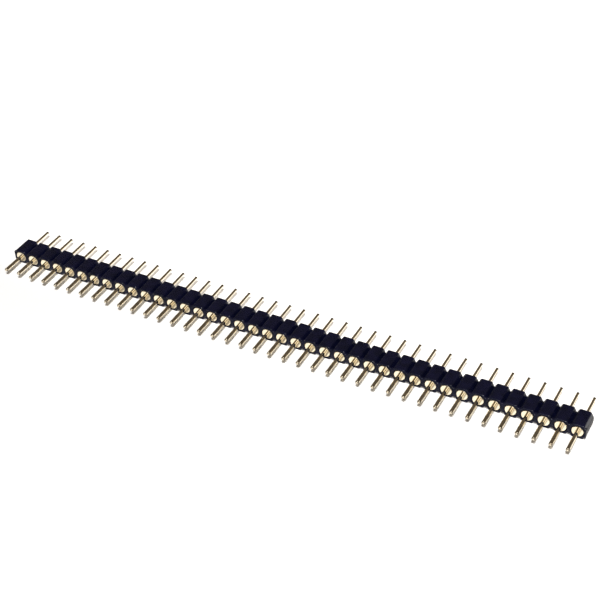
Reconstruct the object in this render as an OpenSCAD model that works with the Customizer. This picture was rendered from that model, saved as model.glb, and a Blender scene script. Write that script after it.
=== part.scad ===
// Single-row header strip: turned round pins pressed into a break-away moulded insulator.
// The strip lies on its side. X runs along the row and Z points up from the face it rests on.
// The pins lie along Y, with the thick plug ends towards -Y and the thin solder tails towards +Y.
// The origin is under the middle of the whole strip, on the surface it lies on.

/* [Row] */
// Number of pins, one in each cell of the insulator
pin_count = 40; // [2:1:56]
// Distance from one pin to the next
pitch = 2.54; // [2.5:0.02:4]

/* [Insulator] */
// Size across the row, from the face it lies on to the top
body_h = 2.5; // [2.4:0.1:5]
// Length along the pins, from the plug face to the board face
body_len = 3.5; // [2.6:0.1:6]
// Width of a break notch at its mouth
notch_w = 0.8; // [0.5:0.05:1.1]
// Depth of a break notch
notch_depth = 0.8; // [0.5:0.05:0.95]
// Radius of the shoulders on both sides of a notch
shoulder_r = 0.35; // [0.05:0.05:0.6]
// Depth of a break notch at the plug face, where a web stands in it
web_depth = 0.4; // [0.3:0.05:0.75]
// Thickness of that web
web_t = 0.4; // [0.1:0.05:1]
// Width of the chamfer along the four long edges
edge_break = 0.12; // [0.02:0.01:0.18]

/* [Plug end of a pin] */
// Diameter of the plug end
plug_d = 0.64; // [0.4:0.02:1]
// Length of the plug end in front of the insulator
plug_len = 4.2; // [2:0.1:8]
// Length of the rounded nose of the plug end
nose_len = 0.16; // [0.1:0.02:0.5]
// Diameter of the flat at the tip of the nose
nose_flat_d = 0.36; // [0.1:0.02:0.36]

/* [Flange and barrel of a pin] */
// Diameter of the flange
flange_d = 1.8; // [1.7:0.02:1.9]
// Thickness of the flange
flange_t = 0.4; // [0.2:0.05:0.7]
// Width of the chamfer around the flange
flange_break = 0.04; // [0.02:0.01:0.08]
// Diameter of the barrel inside the insulator
barrel_d = 1.3; // [1.1:0.02:1.44]
// Distance from the end of the barrel to the board face
barrel_inset = 0.1; // [0:0.05:0.6]
// Width of the chamfer at the end of the barrel
barrel_break = 0.1; // [0.02:0.02:0.2]
// Distance from the flange to the shoulder of the barb
barb_setback = 0.5; // [0.2:0.05:0.7]
// Length of the barb's ramp
barb_len = 0.6; // [0.3:0.05:0.8]

/* [Tail of a pin] */
// Diameter of the solder tail
tail_d = 0.5; // [0.3:0.02:0.8]
// Length of the tail past the board face
tail_len = 4.3; // [2:0.1:12]
// Width of the chamfer at the tip of the tail
tail_break = 0.08; // [0.02:0.02:0.12]

/* [Fits] */
// Gap around the flange in its counterbore
flange_gap = 0.14; // [0.04:0.01:0.16]
// Gap around the barrel in its bore
barrel_gap = 0.02; // [0.01:0.01:0.04]
// How far the barb bites into the wall of the bore
barb_bite = 0.02; // [0.01:0.01:0.04]

/* [Smoothness] */
// Sides of a full circle
round_sides = 48; // [24:8:96]
// Straight steps in the arc of a shoulder or a nose
arc_steps = 4; // [2:1:8]

/* [Hidden] */
row_len = pin_count * pitch;
overall_len = plug_len + body_len + tail_len;
face_y = plug_len - overall_len / 2; // plug face of the insulator, flush with the flanges
axis_z = body_h / 2;

neck_h = body_h - 2 * notch_depth; // what is left between two opposite notches
wall_angle = atan2(notch_depth, notch_w / 2); // slope of a notch's wall
shoulder_run = shoulder_r * tan(wall_angle / 2); // from the sharp corner to the start of its arc
shoulder_x = pitch / 2 - notch_w / 2 - shoulder_run; // centre of a shoulder's arc, from the cell's middle

counterbore_d = flange_d + 2 * flange_gap;
bore_d = barrel_d + 2 * barrel_gap;
barb_d = bore_d + 2 * barb_bite;
barb_start = flange_t + barb_setback;
barrel_end = body_len - barrel_inset;
tail_end = body_len + tail_len;

cut = 0.5; // how far a cutting tool runs past the face it cuts
$fn = round_sides;

function pin_x(i) = (i - (pin_count + 1) / 2) * pitch;
function pin_name(i) = str("pin_", i < 10 ? "0" : "", i);
function arc(cx, cy, rx, ry, from, to) = [
    for (k = [0:arc_steps])
        let (a = from + (to - from) * k / arc_steps)
            [cx + rx * cos(a), cy + ry * sin(a)]
];

// Upper side of one cell, from the notch on its left to its right shoulder
function cell_top(x) = concat(
    [[x - pitch / 2, neck_h / 2]],
    arc(x - shoulder_x, axis_z - shoulder_r, shoulder_r, shoulder_r, 90 + wall_angle, 90),
    arc(x + shoulder_x, axis_z - shoulder_r, shoulder_r, shoulder_r, 90, 90 - wall_angle)
);

// Section of the whole strip as seen along the pins, centred on their row.
// The ends are half notches, where the strip broke off a longer one.
module row_section() {
    upper = concat(
        [for (i = [1:pin_count]) each cell_top(pin_x(i))],
        [[row_len / 2, neck_h / 2]]
    );
    last = len(upper) - 1;
    lower = [for (k = [0:last]) [upper[last - k][0], -upper[last - k][1]]];
    polygon(concat(upper, lower));
}

// Section along the pins, with the long edges chamfered
module side_section() {
    c = edge_break;
    polygon([
        [c, 0], [body_len - c, 0], [body_len, c], [body_len, body_h - c],
        [body_len - c, body_h], [c, body_h], [0, body_h - c], [0, c]
    ]);
}

// Puts a shape that stands on Z onto the axis of a pin, with its zero at the plug face
module on_pin_axis(i) {
    translate([pin_x(i), face_y, axis_z])
        rotate([-90, 0, 0])
            children();
}

// Counterbore for the flange and bore for the barrel, open at both faces
module pin_seat() {
    translate([0, 0, -cut])
        cylinder(d = counterbore_d, h = flange_t + cut);
    cylinder(d = bore_d, h = body_len + cut);
}

module insulator() {
    color([0.06, 0.06, 0.08])
        difference() {
            intersection() {
                translate([0, face_y, axis_z])
                    rotate([-90, 0, 0]) {
                        linear_extrude(height = body_len)
                            row_section();
                        linear_extrude(height = web_t)
                            square([row_len, body_h - 2 * web_depth], center = true);
                    }
                translate([-row_len / 2, face_y, 0])
                    rotate([90, 0, 90])
                        linear_extrude(height = row_len)
                            side_section();
            }
            for (i = [1:pin_count])
                on_pin_axis(i) pin_seat();
        }
}

// One piece turned from bar: plug end, flange, barbed barrel and solder tail
module turned_pin(i) {
    nose_run = (plug_d - nose_flat_d) / 2;
    color([0.83, 0.69, 0.42])
        on_pin_axis(i)
            rotate_extrude()
                polygon(concat(
                    [[0, -plug_len]],
                    arc(nose_flat_d / 2, nose_len - plug_len, nose_run, nose_len, -90, 0),
                    [
                        [plug_d / 2, 0],
                        [flange_d / 2 - flange_break, 0],
                        [flange_d / 2, flange_break],
                        [flange_d / 2, flange_t],
                        [barrel_d / 2, flange_t],
                        [barrel_d / 2, barb_start],
                        [barb_d / 2, barb_start],
                        [barrel_d / 2, barb_start + barb_len],
                        [barrel_d / 2, barrel_end - barrel_break],
                        [barrel_d / 2 - barrel_break, barrel_end],
                        [tail_d / 2, barrel_end],
                        [tail_d / 2, tail_end - tail_break],
                        [tail_d / 2 - tail_break, tail_end],
                        [0, tail_end]
                    ]
                ));
}

insulator();
for (i = [1:pin_count])
    turned_pin(i);
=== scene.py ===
"""A strip of turned round pins in a black break-away insulator, lying on a white table."""
import math

import bmesh
import bpy
from mathutils import Euler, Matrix, Vector, noise as field
from mathutils.geometry import tessellate_polygon


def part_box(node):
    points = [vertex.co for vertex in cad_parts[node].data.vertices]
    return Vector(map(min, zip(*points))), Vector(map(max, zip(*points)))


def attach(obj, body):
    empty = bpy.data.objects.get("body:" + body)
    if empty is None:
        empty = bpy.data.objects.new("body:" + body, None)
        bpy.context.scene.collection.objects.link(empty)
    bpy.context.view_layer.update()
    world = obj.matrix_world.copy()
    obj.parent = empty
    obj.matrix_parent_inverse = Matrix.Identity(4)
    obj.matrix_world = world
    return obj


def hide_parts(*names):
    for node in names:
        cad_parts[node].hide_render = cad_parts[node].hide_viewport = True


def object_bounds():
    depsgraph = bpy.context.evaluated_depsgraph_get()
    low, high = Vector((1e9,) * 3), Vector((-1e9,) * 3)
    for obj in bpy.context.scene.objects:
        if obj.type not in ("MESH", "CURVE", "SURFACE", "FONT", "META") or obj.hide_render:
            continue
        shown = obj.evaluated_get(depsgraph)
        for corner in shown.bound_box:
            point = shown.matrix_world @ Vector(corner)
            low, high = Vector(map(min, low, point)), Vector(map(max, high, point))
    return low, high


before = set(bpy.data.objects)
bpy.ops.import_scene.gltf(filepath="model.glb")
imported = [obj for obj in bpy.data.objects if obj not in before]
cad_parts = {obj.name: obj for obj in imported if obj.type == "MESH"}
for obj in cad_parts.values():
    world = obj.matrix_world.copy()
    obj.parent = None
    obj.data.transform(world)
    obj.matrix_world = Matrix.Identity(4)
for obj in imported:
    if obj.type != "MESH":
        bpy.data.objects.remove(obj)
cad_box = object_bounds()

# ---- sizes, in metres ------------------------------------------------------------------------

MM = 0.001

PINS = sorted(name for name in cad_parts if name.startswith("pin_"))
ROW_LOW, ROW_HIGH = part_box("insulator")

ROW_HALF = (ROW_HIGH[0] - ROW_LOW[0]) / 2
PITCH = 2 * ROW_HALF / len(PINS)
AXIS_Z = (ROW_LOW[2] + ROW_HIGH[2]) / 2

# the insulator's cells, in millimetres, as they are in the CAD model
HALF_PITCH = PITCH / MM / 2
HALF_HEIGHT = (ROW_HIGH[2] - ROW_LOW[2]) / MM / 2
DEPTH = (ROW_HIGH[1] - ROW_LOW[1]) / MM
NOTCH_W = 0.8
NOTCH_DEPTH = 0.8
SHOULDER_R = 0.35
WEB_DEPTH = 0.4
WEB_T = 0.4
EDGE_BREAK = 0.12
COUNTERBORE_R = 1.04
COUNTERBORE_T = 0.4
BORE_R = 0.67

# along the pins, in millimetres
FACE_Y = ROW_LOW[1] / MM
BOARD_Y = ROW_HIGH[1] / MM
NOSE_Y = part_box(PINS[0])[0][1] / MM
TIP_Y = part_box(PINS[0])[1][1] / MM


# ---- helpers ---------------------------------------------------------------------------------

def link_new(name, data):
    """A new object in the scene."""
    thing = bpy.data.objects.new(name, data)
    bpy.context.collection.objects.link(thing)
    return thing


def new_material(name):
    """A new material and the Principled shader in it: (material, tree, shader)."""
    material = bpy.data.materials.new(name)
    material.use_nodes = True
    tree = material.node_tree
    return material, tree, tree.nodes["Principled BSDF"]


def add(tree, kind, settings=None, **inputs):
    """A node of that kind. settings are its own properties, inputs are values or sockets.

    An input is named as the node names it, with _ for a space, or in0, in1 ... by its place.
    """
    node = tree.nodes.new(kind)
    for key, value in (settings or {}).items():
        setattr(node, key, value)
    for key, value in inputs.items():
        socket = node.inputs[int(key[2:]) if key.startswith("in") else key.replace("_", " ")]
        if isinstance(value, bpy.types.NodeSocket):
            tree.links.new(value, socket)
        else:
            socket.default_value = value
    return node


def maths(tree, operation, *values):
    """The result of a Math node."""
    inputs = {f"in{i}": value for i, value in enumerate(values)}
    return add(tree, "ShaderNodeMath", {"operation": operation}, **inputs).outputs[0]


def ramp(tree, value, low, high, start=0.0, end=1.0):
    """value moved from the range low..high to start..end, with its ends held."""
    node = add(tree, "ShaderNodeMapRange", Value=value)
    limits = {"From Min": low, "From Max": high, "To Min": start, "To Max": end}
    for name, number in limits.items():
        node.inputs[name].default_value = number
    return node.outputs["Result"]


def mix(tree, factor, first, second):
    """A colour between first and second."""
    node = add(tree, "ShaderNodeMix", {"data_type": "RGBA"})
    for place, value in ((0, factor), (6, first), (7, second)):  # the sockets for a colour
        socket = node.inputs[place]
        if isinstance(value, bpy.types.NodeSocket):
            tree.links.new(value, socket)
        else:
            socket.default_value = value
    return node.outputs[2]


def position_mm(tree):
    """The place on the object in millimetres: (vector, x, y, z)."""
    place = add(tree, "ShaderNodeTexCoord").outputs["Object"]
    scaled = add(tree, "ShaderNodeVectorMath", {"operation": "SCALE"}, in0=place)
    scaled.inputs["Scale"].default_value = 1 / MM
    parts = add(tree, "ShaderNodeSeparateXYZ", Vector=scaled.outputs[0])
    return scaled.outputs[0], *parts.outputs


def noise(tree, vector, scale, detail=2.0, roughness=0.5):
    """Noise from 0 to 1, with scale cycles a millimetre."""
    inputs = {"Vector": vector, "Scale": scale, "Detail": detail, "Roughness": roughness}
    return add(tree, "ShaderNodeTexNoise", **inputs).outputs["Fac"]


def bump(tree, height, distance, **inputs):
    """A normal from height, which stands for distance millimetres at 1."""
    return add(tree, "ShaderNodeBump", Height=height, Distance=distance * MM, **inputs).outputs[0]


# ---- materials -------------------------------------------------------------------------------
#
# A pair is what a surface varies between. Lengths are in millimetres.

USUAL = 0.3, 0.7  # the part of a noise's range that it mostly stays in
MIDDLE = 0.35, 0.65  # a narrower part, for stronger contrast

PLASTIC = (0.0012, 0.0019, 0.0102, 1), (0.003, 0.0035, 0.0182, 1)
PLASTIC_ROUGH = 0.22, 0.34
FACING = 0.8, 0.95  # how squarely a surface faces along the pins, to be one of the duller faces
SHINE = 0.46, 0.14  # specular level on the long sides, and on those faces
FACE_ROUGHER = 0.15
EDGE_R = 0.05  # rounding of the edges in shading alone
GRAIN_STRENGTH = 0.25
GRAIN_HEIGHT = 0.01

TORN_PLASTIC = (0.006, 0.006, 0.009, 1), (0.030, 0.029, 0.032, 1)
TORN_REACH = 0.12, 0.10  # from an end of the strip: where the torn look starts, and is full
TORN_ROUGHER = 0.2
TORN_HEIGHT = 0.06

GOLD = (0.97, 0.89, 0.72, 1), (0.92, 0.80, 0.58, 1)
GOLD_ROUGH = 0.06, 0.11
RING_STRENGTH = 0.35
RING_HEIGHT = 0.004
SERIAL_SHIFT = 50.0  # how far the rings may shift from one pin to another
STAIN_SHARE = 0.6  # of the colour's variation: the rest is from pin to pin

# painted shade: the gold is darkened towards this colour where a pin sits in the insulator (the
# flange's rim in its gap), round each nose and at each tail's tip
PAINTED_SHADE_GOLD = (0.10, 0.07, 0.04, 1)
PAINTED_SHADE_SHARE = 0.8
DULL_ROUGHER = 0.25
SEAT_START = 0.02, 0.06  # behind the plug face
SEAT_END = 0.1  # in front of the board face
NOSE_DULL_AND_SHADE = 0.30, 0.16  # from the nose's tip
NOSE_FLAT_R = 0.13, 0.17  # the flat at the tip is left out of the painted shade
TIP_DULL_AND_SHADE = 0.35, 0.20  # from the tail's tip

TABLE_TOP = (0.90, 0.90, 0.90, 1), (0.93, 0.93, 0.93, 1)
TABLE_ROUGH = 0.7
TABLE_SHINE = 0.2
WHITE = (1, 1, 1, 1)
PAINTED_SHADOW_TINT = (1, 0.93, 0.84, 1)  # painted warm light in the shadows near the strip
TINT_REACH = 6, 40  # from the strip: where that tint starts to fade, and has gone
FAR_REACH = 6, 96  # from the strip: where the table starts to lighten, and is white
BESIDE_PINS = -4, 5  # across the strip, from the plug ends to the tails
NEAR_LIFT = 0.02, 0.42  # how much lighter the table is seen at those two places: painted light, lighter behind the strip than in front, so the tails' shadows are lighter than the plugs'


def insulator_material():
    """Near-black plastic with a fine moulded texture and two broken-off ends."""
    material, tree, shader = new_material("insulator")
    place, x, *_ = position_mm(tree)

    mottle = noise(tree, place, scale=0.9, detail=3.0)
    grain = noise(tree, place, scale=7.0, detail=3.0)
    colour = mix(tree, ramp(tree, mottle, *MIDDLE), *PLASTIC)

    # the necks at both ends were snapped off, so they are rough and a little paler
    from_end = maths(tree, "SUBTRACT", ROW_HALF / MM, maths(tree, "ABSOLUTE", x))
    broken = ramp(tree, from_end, *TORN_REACH)
    crumbs = noise(tree, place, scale=11.0, detail=5.0, roughness=0.65)
    colour = mix(tree, broken, colour, mix(tree, crumbs, *TORN_PLASTIC))
    tree.links.new(colour, shader.inputs["Base Color"])

    # the two faces that the pins pass through are duller than the long sides
    normal = add(tree, "ShaderNodeTexCoord").outputs["Normal"]
    along_pins = add(tree, "ShaderNodeSeparateXYZ", Vector=normal).outputs["Y"]
    dull = ramp(tree, maths(tree, "ABSOLUTE", along_pins), *FACING)
    tree.links.new(ramp(tree, dull, 0, 1, *SHINE), shader.inputs["Specular IOR Level"])
    rough = ramp(tree, grain, *USUAL, *PLASTIC_ROUGH)
    rough = maths(tree, "ADD", rough, maths(tree, "MULTIPLY", dull, FACE_ROUGHER))
    rough = maths(tree, "ADD", rough, maths(tree, "MULTIPLY", broken, TORN_ROUGHER))
    tree.links.new(rough, shader.inputs["Roughness"])

    edges = add(tree, "ShaderNodeBevel", {"samples": 6}, Radius=EDGE_R * MM).outputs[0]
    fine = bump(tree, grain, GRAIN_HEIGHT, Normal=edges, Strength=GRAIN_STRENGTH)
    torn = bump(tree, crumbs, TORN_HEIGHT, Normal=fine, Strength=broken)
    tree.links.new(torn, shader.inputs["Normal"])
    return material


def pin_material():
    """Bright gold over turned brass, with the rings that the tool left round each pin."""
    material, tree, shader = new_material("pin_plating")
    place, x, y, z = position_mm(tree)

    # distance from the axis of the pin in whose cell the point lies
    cells = maths(tree, "DIVIDE", maths(tree, "ADD", x, ROW_HALF / MM), PITCH / MM)
    in_cell = maths(tree, "SUBTRACT", maths(tree, "FRACT", cells), 0.5)
    across = maths(tree, "MULTIPLY", in_cell, PITCH / MM)
    up = maths(tree, "SUBTRACT", z, AXIS_Z / MM)
    squares = [maths(tree, "POWER", side, 2.0) for side in (across, up)]
    radius = maths(tree, "SQRT", maths(tree, "ADD", *squares))

    # one number that grows along the pin and outwards, so the same rings run round walls and faces
    track = maths(tree, "ADD", y, radius)
    serial = add(tree, "ShaderNodeObjectInfo").outputs["Random"]
    track = maths(tree, "ADD", track, maths(tree, "MULTIPLY", serial, SERIAL_SHIFT))
    kind, settings = "ShaderNodeTexNoise", {"noise_dimensions": "1D"}
    rings = add(tree, kind, settings, W=track, Scale=22.0, Detail=3.0, Roughness=0.6)

    stain = ramp(tree, noise(tree, place, scale=1.1, detail=4.0), *USUAL, 0.0, STAIN_SHARE)
    tint = maths(tree, "ADD", stain, maths(tree, "MULTIPLY", serial, 1 - STAIN_SHARE))
    colour = mix(tree, tint, *GOLD)

    # painted shade: the gold is painted dark, and made rougher, where a pin sits in the insulator,
    # round its nose and at its tail's tip
    seat_start, seat_full = SEAT_START
    behind_face = ramp(tree, y, FACE_Y + seat_start, FACE_Y + seat_full)
    before_board = ramp(tree, y, BOARD_Y, BOARD_Y - SEAT_END)
    seated = maths(tree, "MULTIPLY", behind_face, before_board)
    nose_start, nose_full = NOSE_DULL_AND_SHADE
    nose = ramp(tree, y, NOSE_Y + nose_start, NOSE_Y + nose_full)
    nose = maths(tree, "MULTIPLY", nose, ramp(tree, radius, *NOSE_FLAT_R))
    tip_start, tip_full = TIP_DULL_AND_SHADE
    tip = ramp(tree, y, TIP_Y - tip_start, TIP_Y - tip_full)
    dull = maths(tree, "MAXIMUM", maths(tree, "MAXIMUM", seated, nose), tip)
    # painted shade mixed into the gold's colour
    colour = mix(tree, maths(tree, "MULTIPLY", dull, PAINTED_SHADE_SHARE), colour, PAINTED_SHADE_GOLD)
    tree.links.new(colour, shader.inputs["Base Color"])
    shader.inputs["Metallic"].default_value = 1.0

    rough = ramp(tree, noise(tree, place, scale=3.0, detail=3.0), *USUAL, *GOLD_ROUGH)
    rough = maths(tree, "ADD", rough, maths(tree, "MULTIPLY", dull, DULL_ROUGHER))
    tree.links.new(rough, shader.inputs["Roughness"])

    turned = bump(tree, rings.outputs["Fac"], RING_HEIGHT, Strength=RING_STRENGTH)
    tree.links.new(turned, shader.inputs["Normal"])
    return material


def floor_material():
    """Matt white table top with a very fine tooth."""
    material, tree, shader = new_material("table_top")
    place, x, y, _ = position_mm(tree)
    tooth = noise(tree, place, scale=1.5, detail=4.0)
    tree.links.new(mix(tree, tooth, *TABLE_TOP), shader.inputs["Base Color"])
    shader.inputs["Roughness"].default_value = TABLE_ROUGH
    shader.inputs["Specular IOR Level"].default_value = TABLE_SHINE

    # the camera and the mirrors on the pins see the table lighter than it is lit, and white far off
    rays = add(tree, "ShaderNodeLightPath").outputs
    seen = maths(tree, "MAXIMUM", rays["Is Camera Ray"], rays["Is Glossy Ray"])
    beside = maths(tree, "SUBTRACT", maths(tree, "ABSOLUTE", x), ROW_HALF / MM)
    beyond = maths(tree, "SUBTRACT", maths(tree, "ABSOLUTE", y), -NOSE_Y)
    away = maths(tree, "MAXIMUM", beside, beyond)
    # painted light: the table behind the strip is seen lighter than in front of it, which lightens
    # the tails' shadows more than the plugs'
    near = ramp(tree, y, *BESIDE_PINS, *NEAR_LIFT)
    lift = maths(tree, "MAXIMUM", near, ramp(tree, away, *FAR_REACH))
    tree.links.new(maths(tree, "MULTIPLY", seen, lift), shader.inputs["Emission Strength"])
    # painted warm light: near the strip the table's lift is tinted warm, which warms the shadows
    # there
    tint = mix(tree, ramp(tree, away, *TINT_REACH), PAINTED_SHADOW_TINT, WHITE)
    tree.links.new(tint, shader.inputs["Emission Color"])
    return material


def plate_pins():
    """Gives every pin its finished material."""
    plating = pin_material()
    for name in PINS:
        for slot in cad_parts[name].material_slots:
            slot.link = "DATA"
            slot.material = plating


# ---- insulator -------------------------------------------------------------------------------

ROUND_STEPS = 4  # in a rounded edge
ARC_STEPS = 6  # in a shoulder
BORE_SIDES = 48
MOUTH_R = 0.03  # rounding at the mouths of the bores
TORN_STEPS = 10  # across a snapped neck, and along the cells
BEHIND_WEB = 0.02  # the web's rear face slopes this much
TORN_BITE = 0.045  # how deep the torn surface lies on average
TORN_LUMP = 0.05
TORN_GRAIN = 9.0, 3.1, 4.3  # how fine its lumps are: end to end, along the pins, and up
TORN_FRACTAL = 1.0, 2.0, 4  # how fast finer lumps shrink, how much finer each is, how many sizes
WELD = 0.0005
SHARP_ANGLE = math.radians(35)


def cell_side(inset, webbed):
    """The upper side of a cell from notch to notch, as (x, z), moved inwards by inset."""
    slope = math.atan2(NOTCH_DEPTH, NOTCH_W / 2)
    centre_x = HALF_PITCH - NOTCH_W / 2 - SHOULDER_R * math.tan(slope / 2)
    centre_z = HALF_HEIGHT - SHOULDER_R
    radius = SHOULDER_R - inset
    turns = [slope * step / ARC_STEPS for step in range(ARC_STEPS + 1)]
    right = [(centre_x + radius * math.sin(a), centre_z + radius * math.cos(a)) for a in turns]
    end_x, end_z = right[-1]
    web_z = HALF_HEIGHT - WEB_DEPTH - inset
    right.append((end_x + (end_z - web_z) / math.tan(slope), web_z))
    right.append((HALF_PITCH, web_z if webbed else end_z - (HALF_PITCH - end_x) * math.tan(slope)))
    return [(-x, z) for x, z in reversed(right)] + right


def rounded(radius):
    """An edge of that radius, from the face inwards: [(depth under the face, inset), ...]."""
    turns = [math.pi / 2 * step / ROUND_STEPS for step in range(ROUND_STEPS + 1)]
    return [(radius * (1 - math.cos(a)), radius * (1 - math.sin(a))) for a in turns]


def loft(work, rings, closed=False):
    """Faces between each ring of vertices and the next."""
    for ring, following in zip(rings, rings[1:]):
        count = len(ring)
        for k in range(count if closed else count - 1):
            n = (k + 1) % count
            work.faces.new((ring[k], ring[n], following[n], following[k]))


def make_cell(work, middle):
    """One cell round its bore, open towards both neighbours.

    Returns the height of its open side at each level, and how deep each level lies.
    """
    def corner(x, depth, z):
        return work.verts.new((middle + x, depth, z))

    edge = rounded(EDGE_BREAK)
    levels = [(depth, inset, True) for depth, inset in edge] + [(WEB_T, 0, True)]
    behind = WEB_T + BEHIND_WEB
    stretch = DEPTH - EDGE_BREAK - behind
    levels += [(behind + stretch * step / TORN_STEPS, 0, False) for step in range(TORN_STEPS)]
    levels += [(DEPTH - depth, inset, False) for depth, inset in reversed(edge)]
    top, bottom = [], []
    for depth, inset, webbed in levels:
        side = cell_side(inset, webbed)
        top.append([corner(x, depth, z) for x, z in side])
        bottom.append([corner(-x, depth, -z) for x, z in side])
    loft(work, top)
    loft(work, bottom)

    mouth = rounded(MOUTH_R)
    bore = [(depth, COUNTERBORE_R + inset) for depth, inset in mouth]
    bore += [(COUNTERBORE_T, COUNTERBORE_R), (COUNTERBORE_T, BORE_R)]
    bore += [(DEPTH - depth, BORE_R + inset) for depth, inset in reversed(mouth)]
    turns = [2 * math.pi * side / BORE_SIDES for side in range(BORE_SIDES)]
    rings = [
        [corner(radius * math.cos(a), depth, radius * math.sin(a)) for a in turns]
        for depth, radius in bore
    ]
    loft(work, rings, closed=True)

    for end in (0, -1):
        loops = [top[end] + bottom[end], rings[end]]
        flat = [vertex for loop in loops for vertex in loop]
        for triangle in tessellate_polygon([[vertex.co for vertex in loop] for loop in loops]):
            work.faces.new([flat[k] for k in triangle])
    return [level[-1].co.z for level in top], [level[0] for level in levels]


def make_torn_end(work, side, heights, depths):
    """The neck that snapped at one end of the strip."""
    fine_x, fine_y, fine_z = TORN_GRAIN
    rows = []
    for row, (height, depth) in enumerate(zip(heights, depths)):
        points = []
        for step in range(TORN_STEPS + 1):
            z = height * (1 - 2 * step / TORN_STEPS)
            inside = 0 < step < TORN_STEPS and 0 < row < len(depths) - 1
            bite = 0
            if inside:
                spot = (side * fine_x, depth * fine_y, z * fine_z)
                bite = max(0.0, TORN_BITE + TORN_LUMP * field.fractal(spot, *TORN_FRACTAL))
            points.append(work.verts.new((side * (ROW_HALF / MM - bite), depth, z)))
        rows.append(points)
    loft(work, rows)


def make_insulator():
    """The insulator once more, with every edge rounded and its two end necks torn."""
    work = bmesh.new()
    for cell in range(len(PINS)):
        heights, depths = make_cell(work, (2 * cell + 1) * HALF_PITCH - ROW_HALF / MM)
    for side in (-1, 1):
        make_torn_end(work, side, heights, depths)
    bmesh.ops.remove_doubles(work, verts=work.verts, dist=WELD)
    bmesh.ops.recalc_face_normals(work, faces=work.faces)
    for vertex in work.verts:
        vertex.co = Vector((0, ROW_LOW[1], AXIS_Z)) + vertex.co * MM
    for face in work.faces:
        face.smooth = True
    mesh = bpy.data.meshes.new("insulator_body")
    work.to_mesh(mesh)
    work.free()
    mesh.set_sharp_from_angle(angle=SHARP_ANGLE)
    mesh.materials.append(insulator_material())

    piece = link_new("insulator_body", mesh)
    even = piece.modifiers.new("even_shading", "WEIGHTED_NORMAL")
    even.weight = 100  # the largest faces decide the shading
    even.keep_sharp = True
    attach(piece, "root")
    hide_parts("insulator")


# ---- table, light and camera -----------------------------------------------------------------

TABLE_REACH = 2.0  # from the middle to each side, in metres
TABLE_GAP = 0.002 * MM  # between the strip and the table

SOFTBOX_PLACE = Vector((122, -222, 477)) * MM
SOFTBOX_SIZE = 0.090
SOFTBOX_POWER = 3.25
FILL_FROM = 30, 39  # azimuth and elevation, in degrees
FILL_STRENGTH = 0.28
FILL_SPREAD = math.radians(30)

ROOM_EDGE = math.sin(math.radians(3)), math.sin(math.radians(9))  # from its light part to its dim
ROOM_LIGHT = 0.8, 0.10  # below that edge, and above it
ROOM_TINT = (1, 0.83, 0.67, 1)  # above it

CAMERA_FROM = 29.94, 38.56  # azimuth and elevation, in degrees
CAMERA_AIM = Vector((-0.6, 8.0, AXIS_Z / MM)) * MM
CAMERA_DISTANCE = 220.7 * MM
CAMERA_ROLL = math.radians(-3.06)
CAMERA_LENS = 81.7
CAMERA_SENSOR = 36
CAMERA_CLIP = 0.01, 10  # in metres


def make_floor():
    """The table, just under the lowest face of the strip."""
    level = cad_box[0][2] - TABLE_GAP
    signs = ((-1, -1), (1, -1), (1, 1), (-1, 1))
    corners = [(side_x * TABLE_REACH, side_y * TABLE_REACH, level) for side_x, side_y in signs]
    mesh = bpy.data.meshes.new("table")
    mesh.from_pydata(corners, [], [(0, 1, 2, 3)])
    mesh.materials.append(floor_material())
    link_new("table", mesh)


def towards(azimuth, elevation):
    """Unit vector at azimuth degrees to the right of -Y, and elevation degrees above the table."""
    a, e = math.radians(azimuth), math.radians(elevation)
    return Vector((math.sin(a) * math.cos(e), -math.cos(a) * math.cos(e), math.sin(e)))


def make_light():
    """A soft light above the camera, a weak one from the camera's side, and a dim room."""
    lamp = bpy.data.lights.new("softbox", "AREA")
    lamp.shape = "DISK"
    lamp.size = SOFTBOX_SIZE
    lamp.energy = SOFTBOX_POWER
    light = link_new("softbox", lamp)
    light.location = SOFTBOX_PLACE
    light.rotation_euler = SOFTBOX_PLACE.to_track_quat("Z", "Y").to_euler()

    lamp = bpy.data.lights.new("fill", "SUN")
    lamp.energy = FILL_STRENGTH
    lamp.angle = FILL_SPREAD
    light = link_new("fill", lamp)
    light.rotation_euler = towards(*FILL_FROM).to_track_quat("Z", "Y").to_euler()

    # the room is light just above the level of the table, and dim and warm higher up, but the
    # camera sees it white
    world = bpy.data.worlds.new("room")
    world.use_nodes = True
    tree = world.node_tree
    background = tree.nodes["Background"]
    seen = add(tree, "ShaderNodeLightPath").outputs["Is Camera Ray"]
    way = add(tree, "ShaderNodeTexCoord").outputs["Generated"]
    height = add(tree, "ShaderNodeSeparateXYZ", Vector=way).outputs["Z"]
    strength = maths(tree, "MAXIMUM", ramp(tree, height, *ROOM_EDGE, *ROOM_LIGHT), seen)
    tree.links.new(strength, background.inputs["Strength"])
    unseen = maths(tree, "SUBTRACT", 1.0, seen)
    warm = maths(tree, "MULTIPLY", ramp(tree, height, *ROOM_EDGE), unseen)
    tree.links.new(mix(tree, warm, WHITE, ROOM_TINT), background.inputs["Color"])
    bpy.context.scene.world = world


def make_camera():
    """Seen from the right, above the plug ends, with the frame tilted a little."""
    back = towards(*CAMERA_FROM)
    lens = bpy.data.cameras.new("camera")
    lens.lens = CAMERA_LENS
    lens.sensor_width = CAMERA_SENSOR
    lens.clip_start, lens.clip_end = CAMERA_CLIP
    camera = link_new("camera", lens)
    camera.location = CAMERA_AIM + back * CAMERA_DISTANCE
    roll = Euler((0, 0, CAMERA_ROLL)).to_quaternion()
    camera.rotation_euler = (back.to_track_quat("Z", "Y") @ roll).to_euler()
    bpy.context.scene.camera = camera


plate_pins()
make_insulator()
make_floor()
make_light()
make_camera()
bpy.context.scene.view_settings.view_transform = "Standard"
